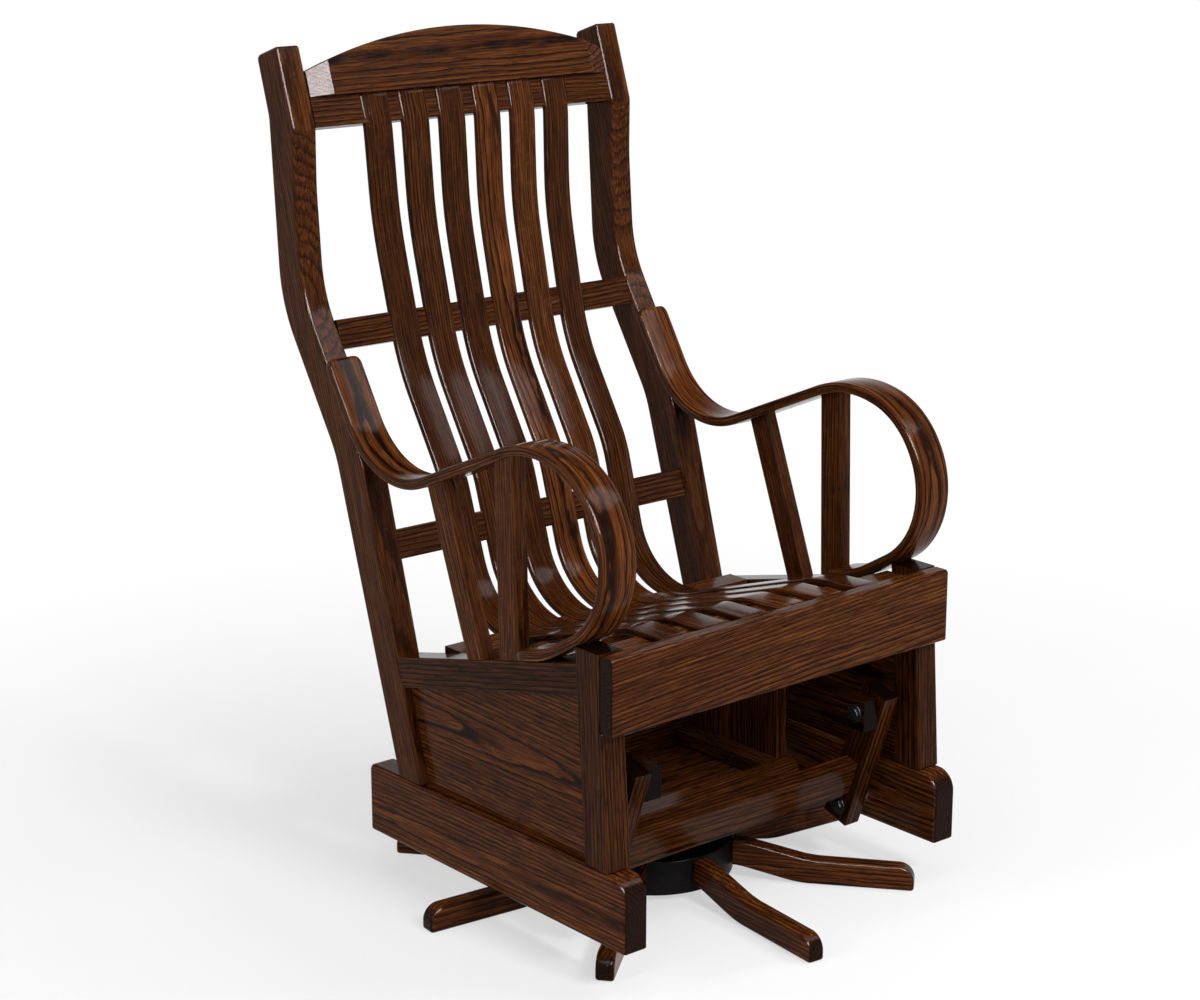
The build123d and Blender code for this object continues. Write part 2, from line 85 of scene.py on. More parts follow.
def makeCamera():
    turn = math.radians(camera["azimuth"])
    rise = math.radians(camera["elevation"])
    back = Vector((math.sin(turn) * math.cos(rise), -math.cos(turn) * math.cos(rise), math.sin(rise)))
    data = bpy.data.cameras.new("camera")
    data.sensor_fit = "HORIZONTAL"
    data.sensor_width = camera["sensor"]
    data.lens = camera["sensor"] * camera["focalPixels"] / camera["frameWidth"]
    data.clip_end = camera["farClip"]
    eye = addObject("camera", data)
    eye.rotation_euler = back.to_track_quat("Z", "Y").to_euler()
    eye.location = camera["place"]
    bpy.context.scene.camera = eye


makeCamera()
print("camera placed")


# finishes

oakFinish = {
    "ringSpacing": 0.0050,       # metres between growth rings, outwards from the pith
    # noises drawn out along the grain, in features per metre across and along it
    "wander": {"across": 7.0, "along": 1.6},
    "ripple": {"across": 60.0, "along": 20.0},
    "pore": {"across": 480.0, "along": 34.0, "detail": 1.5},
    "flame": {"across": 26.0, "along": 2.0, "detail": 3.0, "roughness": 0.6},
    "streak": {"across": 130.0, "along": 10.0, "detail": 3.0, "roughness": 0.6},
    "fine": {"across": 460.0, "along": 12.0, "roughness": 0.6},
    "wanderSpan": 0.016,         # metres by which the rings drift along a board
    "rippleSpan": 0.0034,
    "yearSpan": 1.1,             # wide and narrow years, in rings
    "yearScale": 42.0,
    "lineStart": 0.07,           # shares of a ring: its dark line comes in this much before it
    "lineEnd": 0.28,             # starts, is full as far after that, and is gone here
    "lateRange": (0.15, 0.75),   # the dense late wood comes in between these
    "faintest": 0.50,            # the faintest ring line beside the boldest
    "lineDepth": 0.96,
    # the ground: its level between dark and light, and how far each thing moves it
    "groundLevel": 0.41,
    "lateSpan": 0.14,
    "flameSpan": 0.36,
    "streakSpan": 0.34,
    "fineSpan": 1.1,
    "toneStops": (0.16, 0.48, 0.82),
    "dashRange": (0.38, 0.56),   # noise levels at which pores open inside a ring line
    "speckRange": (0.54, 0.64),  # and between the lines
    "speckDepth": 0.66,
    "poreDepth": 0.85,
    "rayScale": (70.0, 24.0, 150.0),  # rays: long from the pith out, thin round it, short along
    "rayDetail": 1.0,
    "rayRange": (0.58, 0.70),
    "poreTone": (0.0035, 0.0014, 0.0010),
    "lineTone": (0.0058, 0.0021, 0.0014),
    "darkTone": (0.0270, 0.0075, 0.0022),
    "midTone": (0.0830, 0.0232, 0.0058),
    "lightTone": (0.2000, 0.0660, 0.0165),
    "endTone": (0.0045, 0.0023, 0.0021),
    "sawnRange": (0.46, 0.86),   # cosines to the grain between which end grain comes in
    "sawnDepth": 0.86,
    "veneerShift": 0.37,         # metres along the plank from one veneer to the next
    "veneerSkin": 0.14,          # share of the outer veneers left off, so their faces show no glue
    "glueRange": (0.37, 0.47),
    "glueDepth": 0.75,
    "roughness": 0.11,
    "poreRoughness": 0.05,
    "fineRoughness": 0.04,
    "specular": 0.040,
    "bumpStrength": 0.35,
    "bumpDepth": 0.00015,
}


def addNode(tree, kind, **settings):
    node = tree.nodes.new(kind)
    for key, value in settings.items():
        setattr(node, key, value)
    return node


def join(tree, source, target):
    tree.links.new(source, target)


def mathNode(tree, operation, *values):
    # one arithmetic step; each input is a number or another node's output
    node = addNode(tree, "ShaderNodeMath", operation=operation)
    for slot, value in enumerate(values):
        if isinstance(value, (int, float)):
            node.inputs[slot].default_value = value
        else:
            join(tree, value, node.inputs[slot])
    return node.outputs[0]


def noiseNode(tree, vector, scale, detail, roughness=0.5):
    node = addNode(tree, "ShaderNodeTexNoise")
    join(tree, vector, node.inputs["Vector"])
    node.inputs["Scale"].default_value = scale
    node.inputs["Detail"].default_value = detail
    node.inputs["Roughness"].default_value = roughness
    return node.outputs["Fac"]


def grainNoise(tree, vector, across, along, detail=2.0, roughness=0.5):
    # noise drawn out along the grain: x and y run across the grain, z runs along it
    node = addNode(tree, "ShaderNodeMapping", vector_type="POINT")
    join(tree, vector, node.inputs["Vector"])
    node.inputs["Scale"].default_value = (across, across, along)
    return noiseNode(tree, node.outputs["Vector"], 1.0, detail, roughness)


def centred(tree, value, span):
    # a noise moved to lie evenly about zero, over a span
    return mathNode(tree, "MULTIPLY", mathNode(tree, "SUBTRACT", value, 0.5), span)


def rampNode(tree, factor, stops):
    node = addNode(tree, "ShaderNodeValToRGB")
    ramp = node.color_ramp
    while len(ramp.elements) < len(stops):
        ramp.elements.new(0.5)
    for element, (place, colour) in zip(ramp.elements, stops):
        element.position = place
        element.color = (*colour, 1.0)
    join(tree, factor, node.inputs["Fac"])
    return node.outputs["Color"]


def greyRamp(tree, factor, low, high, lowValue=0.0, highValue=1.0):
    node = addNode(tree, "ShaderNodeMapRange", clamp=True, interpolation_type="SMOOTHSTEP")
    join(tree, factor, node.inputs["Value"])
    node.inputs["From Min"].default_value = low
    node.inputs["From Max"].default_value = high
    node.inputs["To Min"].default_value = lowValue
    node.inputs["To Max"].default_value = highValue
    return node.outputs["Result"]


def blendColours(tree, factor, first, second):
    # from the first colour to the second; each is an output or three numbers
    mix = addNode(tree, "ShaderNodeMix", data_type="RGBA")
    join(tree, factor, mix.inputs["Factor"])
    for name, colour in (("A", first), ("B", second)):
        target = next(slot for slot in mix.inputs if slot.name == name and slot.type == "RGBA")
        if isinstance(colour, tuple):
            target.default_value = (*colour, 1.0)
        else:
            join(tree, colour, target)
    return next(slot for slot in mix.outputs if slot.type == "RGBA")


def ringLines(tree, vector, spacing):
    # Growth rings: distance from the pith plus a slow drift and a ripple, divided by the ring
    # spacing. The fraction left over runs from the porous early wood, which the stain turns
    # into a thin dark line, to the dense late wood; the whole number sets how bold a line is.
    values = oakFinish
    start = values["lineStart"]
    parts = addNode(tree, "ShaderNodeSeparateXYZ")
    join(tree, vector, parts.inputs[0])
    across, width, along = parts.outputs
    squares = mathNode(tree, "MULTIPLY_ADD", across, across, mathNode(tree, "MULTIPLY", width, width))
    radius = mathNode(tree, "SQRT", squares)
    drift = centred(tree, grainNoise(tree, vector, **values["wander"]), values["wanderSpan"])
    ripple = centred(tree, grainNoise(tree, vector, **values["ripple"]), values["rippleSpan"])
    distance = mathNode(tree, "ADD", radius, mathNode(tree, "ADD", drift, ripple))
    years = addNode(tree, "ShaderNodeTexNoise", noise_dimensions="1D")
    join(tree, distance, years.inputs["W"])
    years.inputs["Scale"].default_value = values["yearScale"]
    uneven = centred(tree, years.outputs["Fac"], values["yearSpan"])
    rings = mathNode(tree, "ADD", mathNode(tree, "DIVIDE", distance, spacing), uneven)
    share = mathNode(tree, "FRACT", rings)
    fade = greyRamp(tree, share, start, values["lineEnd"], 1.0, 0.0)
    onset = greyRamp(tree, share, 1.0 - start, 1.0)
    bold = addNode(tree, "ShaderNodeTexWhiteNoise", noise_dimensions="1D")
    join(tree, mathNode(tree, "FLOOR", mathNode(tree, "ADD", rings, start)), bold.inputs["W"])
    faintest = values["faintest"]
    weight = mathNode(tree, "MULTIPLY_ADD", bold.outputs["Value"], 1.0 - faintest, faintest)
    line = mathNode(tree, "MULTIPLY", mathNode(tree, "MAXIMUM", fade, onset), weight)
    late = greyRamp(tree, share, *values["lateRange"])
    return line, late, radius, mathNode(tree, "ARCTAN2", width, across), along


def oakPattern(tree, vector, spacing, figure):
    values = oakFinish
    bold, flecked = figure
    line, late, radius, turn, along = ringLines(tree, vector, spacing)
    # Pores: a noise drawn out along the grain, thresholded, thick in the dark lines.
    pores = grainNoise(tree, vector, **values["pore"])
    dashes = greyRamp(tree, pores, *values["dashRange"])
    specks = greyRamp(tree, pores, *values["speckRange"])
    # Ground: a level plus the late wood, plus broad, narrow and fine noise along the grain,
    # where the stain took unevenly.
    body = mathNode(tree, "MULTIPLY_ADD", late, values["lateSpan"], values["groundLevel"])
    noises = {name: grainNoise(tree, vector, **values[name]) for name in ("flame", "streak", "fine")}
    for name, noise in noises.items():
        body = mathNode(tree, "ADD", body, centred(tree, noise, values[name + "Span"]))
    tones = (values["darkTone"], values["midTone"], values["lightTone"])
    ground = rampNode(tree, body, list(zip(values["toneStops"], tones)))
    # Rays: noise over distance from the pith, angle round it and length, thin round the pith.
    sheet = addNode(tree, "ShaderNodeCombineXYZ")
    for slot, (place, scale) in enumerate(zip((radius, turn, along), values["rayScale"])):
        join(tree, mathNode(tree, "MULTIPLY", place, scale), sheet.inputs[slot])
    flecks = noiseNode(tree, sheet.outputs[0], 1.0, values["rayDetail"])
    rays = greyRamp(tree, flecks, *values["rayRange"])
    lifted = blendColours(tree, mathNode(tree, "MULTIPLY", rays, flecked), ground, values["lightTone"])
    depth = mathNode(tree, "MULTIPLY", line, values["lineDepth"] * bold)
    lined = blendColours(tree, depth, lifted, values["lineTone"])
    broken = mathNode(tree, "MULTIPLY", mathNode(tree, "MULTIPLY", line, dashes), bold)
    marks = mathNode(tree, "MAXIMUM", broken, mathNode(tree, "MULTIPLY", specks, values["speckDepth"]))
    opened = mathNode(tree, "MULTIPLY", marks, values["poreDepth"])
    return blendColours(tree, opened, lined, values["poreTone"]), marks, noises["fine"]


def newMaterial(name):
    material = bpy.data.materials.new(name)
    material.use_nodes = True
    return material, material.node_tree, material.node_tree.nodes["Principled BSDF"]


def addBump(tree, shader, height, values):
    bump = addNode(tree, "ShaderNodeBump")
    bump.inputs["Strength"].default_value = values["bumpStrength"]
    bump.inputs["Distance"].default_value = values["bumpDepth"]
    join(tree, height, bump.inputs["Height"])
    join(tree, bump.outputs["Normal"], shader.inputs["Normal"])


def oakMaterial(name, spacing, tone, figure, transform=None, laminated=False):
    # transform turns object coordinates into the board's own grain frame; without one the
    # piece's own grain attribute is read, which follows a bent strip
    values = oakFinish
    material, tree, shader = newMaterial(name)
    if transform is None:
        source = addNode(tree, "ShaderNodeAttribute", attribute_name="grain")
        vector = source.outputs["Vector"]
    else:
        source = addNode(tree, "ShaderNodeTexCoord")
        place = addNode(tree, "ShaderNodeMapping", vector_type="POINT")
        join(tree, source.outputs["Object"], place.inputs["Vector"])
        place.inputs["Location"].default_value = transform.translation
        place.inputs["Rotation"].default_value = transform.to_euler("XYZ")
        vector = place.outputs["Vector"]
    if laminated:
        # Veneers: the whole part of the layer attribute shifts the grain along the plank.
        layer = addNode(tree, "ShaderNodeAttribute", attribute_name="layer").outputs["Fac"]
        shift = addNode(tree, "ShaderNodeCombineXYZ")
        step = mathNode(tree, "MULTIPLY", mathNode(tree, "FLOOR", layer), values["veneerShift"])
        join(tree, step, shift.inputs["Z"])
        moved = addNode(tree, "ShaderNodeVectorMath", operation="ADD")
        join(tree, vector, moved.inputs[0])
        join(tree, shift.outputs[0], moved.inputs[1])
        vector = moved.outputs["Vector"]
    colour, marks, fine = oakPattern(tree, vector, spacing, figure)
    if laminated:
        # Glue lines: dark where the layer attribute passes a whole number.
        seam = mathNode(tree, "SUBTRACT", mathNode(tree, "FRACT", layer), 0.5)
        seam = mathNode(tree, "ABSOLUTE", seam)
        glue = greyRamp(tree, seam, *values["glueRange"], 0.0, values["glueDepth"])
        colour = blendColours(tree, glue, colour, values["poreTone"])
    if transform is not None:
        # End grain: where the surface faces along the grain the stain sinks in and dries darker.
        facing = addNode(tree, "ShaderNodeVectorMath", operation="DOT_PRODUCT")
        join(tree, source.outputs["Normal"], facing.inputs[0])
        facing.inputs[1].default_value = tuple(transform.to_3x3()[2])
        cosine = mathNode(tree, "ABSOLUTE", facing.outputs["Value"])
        sawn = greyRamp(tree, cosine, *values["sawnRange"], 0.0, values["sawnDepth"])
        colour = blendColours(tree, sawn, colour, values["endTone"])
    shade = addNode(tree, "ShaderNodeHueSaturation")
    shade.inputs["Value"].default_value = tone
    join(tree, colour, shade.inputs["Color"])
    join(tree, shade.outputs["Color"], shader.inputs["Base Color"])
    rough = mathNode(tree, "MULTIPLY_ADD", marks, values["poreRoughness"], values["roughness"])
    rough = mathNode(tree, "MULTIPLY_ADD", fine, values["fineRoughness"], rough)
    join(tree, rough, shader.inputs["Roughness"])
    shader.inputs["Specular IOR Level"].default_value = values["specular"]
    addBump(tree, shader, mathNode(tree, "SUBTRACT", 1.0, marks), values)
    return material


hardFinish = {
    # what paint and metal share: a cast grain, whose grainScale below counts specks per metre
    "detail": 3.0,
    "shares": (0.6, 1.5),        # the darkest and the lightest speck beside the colour
    "toneRange": (0.3, 0.7),     # noise levels between which the one turns into the other
    "roughRange": (0.2, 0.8),
    "roughSpread": (-0.08, 0.10),  # what is added to the roughness at both ends
    "bumpStrength": 0.15,
    "bumpDepth": 0.0003,
}
blackPaint = {
    "colour": (0.0055, 0.0048, 0.0045),
    "grainScale": 380.0,
    "roughness": 0.35,
    "metallic": 0.0,
    "specular": 0.05,
}
blackSteel = {
    "colour": (0.010, 0.010, 0.0105),
    "grainScale": 600.0,
    "roughness": 0.35,
    "metallic": 0.0,
    "specular": 0.08,
}
darkZinc = {
    "colour": (0.012, 0.012, 0.013),
    "grainScale": 900.0,
    "roughness": 0.42,
    "metallic": 1.0,
    "specular": 0.5,
}
brightZinc = {**darkZinc, "colour": (0.30, 0.30, 0.31), "roughness": 0.24}


def hardMaterial(name, values):
    # An even colour broken by a fine cast grain: one noise between two tones of the colour,
    # which also moves the roughness and the height.
    material, tree, shader = newMaterial(name)
    source = addNode(tree, "ShaderNodeTexCoord")
    speck = noiseNode(tree, source.outputs["Object"], values["grainScale"], hardFinish["detail"])
    tones = [tuple(share * channel for channel in values["colour"]) for share in hardFinish["shares"]]
    colour = rampNode(tree, speck, list(zip(hardFinish["toneRange"], tones)))
    join(tree, colour, shader.inputs["Base Color"])
    smooth, coarse = (values["roughness"] + spread for spread in hardFinish["roughSpread"])
    rough = greyRamp(tree, speck, *hardFinish["roughRange"], smooth, coarse)
    join(tree, rough, shader.inputs["Roughness"])
    shader.inputs["Metallic"].default_value = values["metallic"]
    shader.inputs["Specular IOR Level"].default_value = values["specular"]
    addBump(tree, shader, speck, hardFinish)
    return material


paint = hardMaterial("mattBlackPaint", blackPaint)
raceSteel = hardMaterial("blackenedSteel", blackSteel)
boltSteel = hardMaterial("darkZinc", darkZinc)
tubeSteel = hardMaterial("brightZinc", brightZinc)
print("finishes made")


# boards: each is a copy of its CAD solid with eased arrises and its own grain

grainSeed = 11                   # another number cuts every board from another place in the log
dice = np.random.default_rng(grainSeed)
cuts = {
    # where a board was sawn from the log: metres from the pith through its thickness and
    # aside, degrees by which the pith slants across its face and dives through it, and the
    # figure: how bold the ring lines and the ray flecks are
    "flat": {
        "deep": (0.040, 0.055), "aside": (-0.020, 0.020), "slant": 0.8, "dive": 1.6,
        "figure": (1.0, 0.06),
    },
    "rift": {
        "deep": (0.060, 0.090), "aside": (0.060, 0.100), "slant": 1.6, "dive": 1.0,
        "figure": (0.9, 0.08),
    },
    "quarter": {
        "deep": (0.000, 0.020), "aside": (0.090, 0.130), "slant": 0.8, "dive": 0.6,
        "figure": (0.45, 0.20),
    },
}
trunkReach = 2.0                 # boards start anywhere along this many metres up or down the log
easing = {
    "segments": 3,
    "smoothAngle": 12.0,         # degrees: flatter edges belong to a curve and are shaded smooth
    "cornerAngle": 30.0,         # sharper edges are arrises, and are rounded
    "sliverAngle": 150.0,        # sharper ones still are knife edges, and stay as they are
    "flatAngle": 0.4,
    "mergeReach": 1e-6,
    "alongGrain": 0.8,           # cosine above which an edge runs with the grain
    "shortest": 0.25,            # an arris shorter than this share of the ease stays sharp
    "leastTurn": 0.01,           # radians between two facets of a bore's wall
    "boreSides": 8,              # a ring of more facets than this is the wall of a hole
}
# how far the arrises are rounded, in metres
roundArris = 0.0042
softArris = 0.0028
smallArris = 0.0013
fineArris = 0.0006
hubArris = 0.0016


def pithPlace(cut, slant=None):
    # draws one board's place in the log: two offsets, a start along the grain, two tilts
    values = cuts[cut]
    deep = dice.uniform(*values["deep"])
    aside = dice.uniform(*values["aside"]) * dice.choice((-1, 1))
    drawn = dice.uniform(-1, 1, 2) * (values["slant"], values["dive"])
    if slant is not None:
        drawn[0] = slant
    return (deep, aside, dice.uniform(-trunkReach, trunkReach)), np.radians(drawn)


def grainFrame(centre, along, through, cut, slant):
    # Rows are the board's thickness, width and grain directions, then the place of the pith.
    zAxis = Vector(along).normalized()
    xAxis = Vector(through)
    xAxis = (xAxis - zAxis * xAxis.dot(zAxis)).normalized()
    yAxis = zAxis.cross(xAxis)
    turn = Matrix((xAxis, yAxis, zAxis)).to_4x4()
    offset, tilts = pithPlace(cut, slant)
    lean = Matrix.Rotation(tilts[0], 4, "X") @ Matrix.Rotation(tilts[1], 4, "Y")
    return Matrix.Translation(offset) @ lean @ turn @ Matrix.Translation(-Vector(centre))


def boreFaces(build, corner):
    # The walls of round holes: rings of faces that each meet two others at a slight inward turn.
    def bendsIn(edge):
        if len(edge.link_faces) != 2 or edge.is_convex:
            return False
        return easing["leastTurn"] < edge.calc_face_angle(0.0) < corner

    inward = {face: [edge for edge in face.edges if bendsIn(edge)] for face in build.faces}
    found = set()
    for first in build.faces:
        if first in found or len(inward[first]) != 2:
            continue
        ring, reached = {first}, [first]
        while reached:
            for edge in inward[reached.pop()]:
                ahead = [face for face in edge.link_faces if face not in ring]
                ring.update(ahead)
                reached.extend(ahead)
        if len(ring) > easing["boreSides"] and all(len(inward[face]) == 2 for face in ring):
            found |= ring
    return found


def easedCopy(node, ease, along=None, below=math.inf):
    # The CAD mesh merged, its flat faces made whole, and its outward corners rounded by a bevel;
    # hole rims stay crisp, as do edges above a height, and where along is given only the edges
    # with the grain are eased.
    mesh = frame["nodes"][node].data.copy()
    angles = ("cornerAngle", "sliverAngle", "smoothAngle", "flatAngle")
    corner, sliver, smooth, flat = (math.radians(easing[name]) for name in angles)
    grain = None if along is None else Vector(along).normalized()
    build = bmesh.new()
    build.from_mesh(mesh)
    bmesh.ops.remove_doubles(build, verts=build.verts, dist=easing["mergeReach"])
    bmesh.ops.dissolve_limit(build, angle_limit=flat, verts=build.verts, edges=build.edges)
    weight = build.edges.layers.float.new("bevel_weight_edge")
    walls = boreFaces(build, corner)
    turns = {edge: edge.calc_face_angle(math.pi) for edge in build.edges}
    spoilt = {end for edge, turn in turns.items() if turn >= sliver for end in edge.verts}
    for edge, turn in turns.items():
        edge.smooth = turn < smooth
        way = edge.verts[1].co - edge.verts[0].co
        arris = corner <= turn < sliver and edge.is_convex and spoilt.isdisjoint(edge.verts)
        withGrain = grain is None or abs(way.normalized().dot(grain)) > easing["alongGrain"]
        longEnough = way.length > easing["shortest"] * ease
        free = max(edge.verts[0].co.z, edge.verts[1].co.z) < below
        if arris and withGrain and longEnough and free and walls.isdisjoint(edge.link_faces):
            edge[weight] = 1.0
    for face in build.faces:
        face.smooth = True
    build.to_mesh(mesh)
    build.free()
    piece = addObject(node + "Finished", mesh)
    mesh.materials.clear()
    if ease:
        bevel = piece.modifiers.new("ease", "BEVEL")
        bevel.width = ease
        bevel.segments = easing["segments"]
        bevel.limit_method = "WEIGHT"
        bevel.use_clamp_overlap = False
        bevel.harden_normals = True
    return piece


def dress(piece, node, material):
    piece.data.materials.append(material)
    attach(piece, bodyOf[node])
    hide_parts(node)


def boxMiddle(node):
    low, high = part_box(node)
    return (low + high) / 2


def inSide(angle):
    # a direction in the side view, turned back from the vertical
    return (0.0, math.sin(math.radians(angle)), math.cos(math.radians(angle)))


acrossChair = (1, 0, 0)
alongChair = (0, 1, 0)
upright = (0, 0, 1)
backLean = 17.6
throughBack = inSide(backLean + 90)
boards = {
    # butted boards meet others at their ends, where their corners stay sharp; below is the
    # height under which a post is free of the apron, and its edges are eased
    "runner": {
        "along": alongChair, "through": acrossChair, "cut": "flat", "tone": 0.92, "ease": roundArris,
    },
    "front_post": {
        "along": inSide(3.9), "through": alongChair, "cut": "rift", "tone": 0.5, "ease": softArris,
        "below": 0.345,
    },
    "rear_post": {
        "along": inSide(17.4), "through": acrossChair, "cut": "quarter", "tone": 0.62,
        "ease": roundArris,
    },
    "side_rail": {
        "along": inSide(103.54), "through": acrossChair, "cut": "rift", "tone": 0.42, "ease": softArris,
        "butted": True,
    },
    "side_panel": {
        "along": alongChair, "through": acrossChair, "cut": "flat", "tone": 0.78, "ease": smallArris,
        "butted": True,
    },
    "front_stile": {
        "along": inSide(1.6), "through": acrossChair, "cut": "quarter", "tone": 0.84, "ease": softArris,
        "butted": True,
    },
    "rear_stile": {
        "along": inSide(20.6), "through": acrossChair, "cut": "quarter", "tone": 0.82, "ease": softArris,
        "butted": True,
    },
    "front_link": {
        "along": inSide(-19.0), "through": acrossChair, "cut": "rift", "tone": 0.42, "ease": smallArris,
    },
    "rear_link": {
        "along": inSide(10.2), "through": acrossChair, "cut": "rift", "tone": 0.6, "ease": smallArris,
    },
    "upper_rail": {
        "along": alongChair, "through": acrossChair, "cut": "flat", "tone": 0.32, "ease": smallArris,
    },
    "frame_side": {
        "along": upright, "through": acrossChair, "cut": "flat", "tone": 0.6, "ease": smallArris,
        "butted": True,
    },
    "side_sill": {
        "along": alongChair, "through": upright, "cut": "rift", "tone": 0.7, "ease": smallArris,
    },
    "apron": {
        "along": acrossChair, "through": alongChair, "cut": "rift", "tone": 0.78, "ease": softArris,
        "slant": 4.0,
    },
    "front_seat_rail": {
        "along": acrossChair, "through": alongChair, "cut": "rift", "tone": 0.9, "ease": smallArris,
    },
    "rear_seat_rail": {
        "along": acrossChair, "through": alongChair, "cut": "rift", "tone": 0.9, "ease": smallArris,
    },
    "front_stretcher": {
        "along": acrossChair, "through": alongChair, "cut": "rift", "tone": 0.56, "ease": smallArris,
    },
    "rear_stretcher": {
        "along": acrossChair, "through": alongChair, "cut": "rift", "tone": 0.8, "ease": smallArris,
    },
    "rear_sill": {
        "along": acrossChair, "through": alongChair, "cut": "rift", "tone": 0.85, "ease": smallArris,
    },
    "front_sill": {
        "along": acrossChair, "through": upright, "cut": "rift", "tone": 0.9, "ease": smallArris,
    },
    "tray_floor": {
        "along": acrossChair, "through": upright, "cut": "flat", "tone": 0.85, "ease": smallArris,
    },
    "low_back_rail": {
        "along": acrossChair, "through": throughBack, "cut": "rift", "tone": 0.58, "ease": smallArris,
        "butted": True,
    },
    "mid_back_rail": {
        "along": acrossChair, "through": throughBack, "cut": "rift", "tone": 0.52, "ease": smallArris,
        "butted": True,
    },
    "top_back_rail": {
        "along": acrossChair, "through": throughBack, "cut": "rift", "tone": 0.6, "ease": fineArris,
        "butted": True,
    },
    "crest_rail": {
        "along": acrossChair, "through": throughBack, "cut": "flat", "tone": 0.68, "ease": smallArris,
    },
}
starLeg = {"cut": "rift", "tone": 0.92, "ease": roundArris}


def oakBoard(node, along, through, cut, tone, ease, slant=None, butted=False, below=math.inf):
    transform = grainFrame(boxMiddle(node), along, through, cut, slant)
    material = oakMaterial(node + "Oak", oakFinish["ringSpacing"], tone, cuts[cut]["figure"], transform)
    dress(easedCopy(node, ease, along if butted else None, below), node, material)


for name, values in boards.items():
    for node in (name, name + "_left", name + "_right"):
        if node in bodyOf:
            oakBoard(node, **values)
for node in sorted(name for name in bodyOf if name.startswith("star_leg")):
    middle = boxMiddle(node)
    oakBoard(node, (middle.x, middle.y, 0), (-middle.y, middle.x, 0), **starLeg)
dress(easedCopy("star_hub", hubArris), "star_hub", paint)
for node in ("lower_race", "upper_race"):
    dress(easedCopy(node, 0.0), node, raceSteel)
print("boards made")


# bolts: the CAD bolts with broken edges, a bright spacing tube, and a washer under each head

bolt = {
    "ease": 0.0007,
    "washerRadius": 0.0128,
    "washerBore": 0.0045,
    "washerThickness": 0.0017,
    "washerChamfer": 0.3,        # as a share of its thickness
    "washerSteps": 48,
}


def ringMesh(name, places, outward):
    # A washer: the corners of its section carried round the bolt's axis, radius times cosine
    # and sine of the angle, and joined into a closed ring.
    angle = np.linspace(0, 2 * math.pi, bolt["washerSteps"], endpoint=False)
    inner, outer, thick = bolt["washerBore"], bolt["washerRadius"], bolt["washerThickness"]
    chamfer = bolt["washerChamfer"] * thick
    section = np.array([
        (inner, 0),
        (outer, 0),
        (outer, thick - chamfer),
        (outer - chamfer, thick),
        (inner, thick),
    ])
    corners = len(section)
    count = corners * len(angle)
    vertices, faces = [], []
    for (x, y, z), way in zip(places, outward):
        grid = np.stack(
            np.broadcast_arrays(
                x + way * section[None, :, 1],
                y + np.cos(angle)[:, None] * section[None, :, 0],
                z + np.sin(angle)[:, None] * section[None, :, 0],
            ),
            axis=2,
        )
        index = np.arange(count).reshape(-1, corners) + len(vertices) * count
        ahead = np.roll(index, -1, axis=0)
        quads = np.stack([index, np.roll(index, -1, axis=1), np.roll(ahead, -1, axis=1), ahead], axis=2)
        faces += quads.reshape(-1, 4).tolist()
        vertices.append(grid.reshape(-1, 3))
    mesh = bpy.data.meshes.new(name)
    mesh.from_pydata(np.concatenate(vertices).tolist(), [], faces)
    return mesh


def makeBolts(end, level, faceX):
    node = f"{end}_{level}_bolts"
    piece = easedCopy(node, bolt["ease"])
    dress(piece, node, boltSteel)
    if level == "lower":
        # the tube between link and runner is left bright
        piece.data.materials.append(tubeSteel)
        middles = np.empty(len(piece.data.polygons) * 3)
        piece.data.polygons.foreach_get("center", middles)
        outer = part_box(f"{end}_link_left")[1].x
        bright = np.abs(middles[0::3]) > outer
        piece.data.polygons.foreach_set("material_index", bright.astype(np.int32))
    middle = boxMiddle(node)
    places = [(side * faceX, middle.y, middle.z) for side in (1, -1)]
    mesh = ringMesh(f"{end}{level.title()}Washers", places, (-1, 1))
    washers = addObject(mesh.name, mesh)
    turnOutwards(mesh)
    mesh.materials.append(boltSteel)
    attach(washers, bodyOf[node])


for end in ("front", "rear"):
    makeBolts(end, "upper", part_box("upper_rail_left")[0].x)
    makeBolts(end, "lower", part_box(f"{end}_link_left")[0].x)
print("bolts made")


# bent strips: slats and arms, a rounded profile carried along a route of lines and arcs

stripGrid = {
    "straightStep": 0.012,
    "arcStep": 3.0,              # degrees
    "leastSteps": 2,
    "leastBends": 3,
    "cornerSteps": 4,
    "headSteps": 8,
}


def straightSteps(start, end):
    return max(stripGrid["leastSteps"], round(np.linalg.norm(end - start) / stripGrid["straightStep"]))


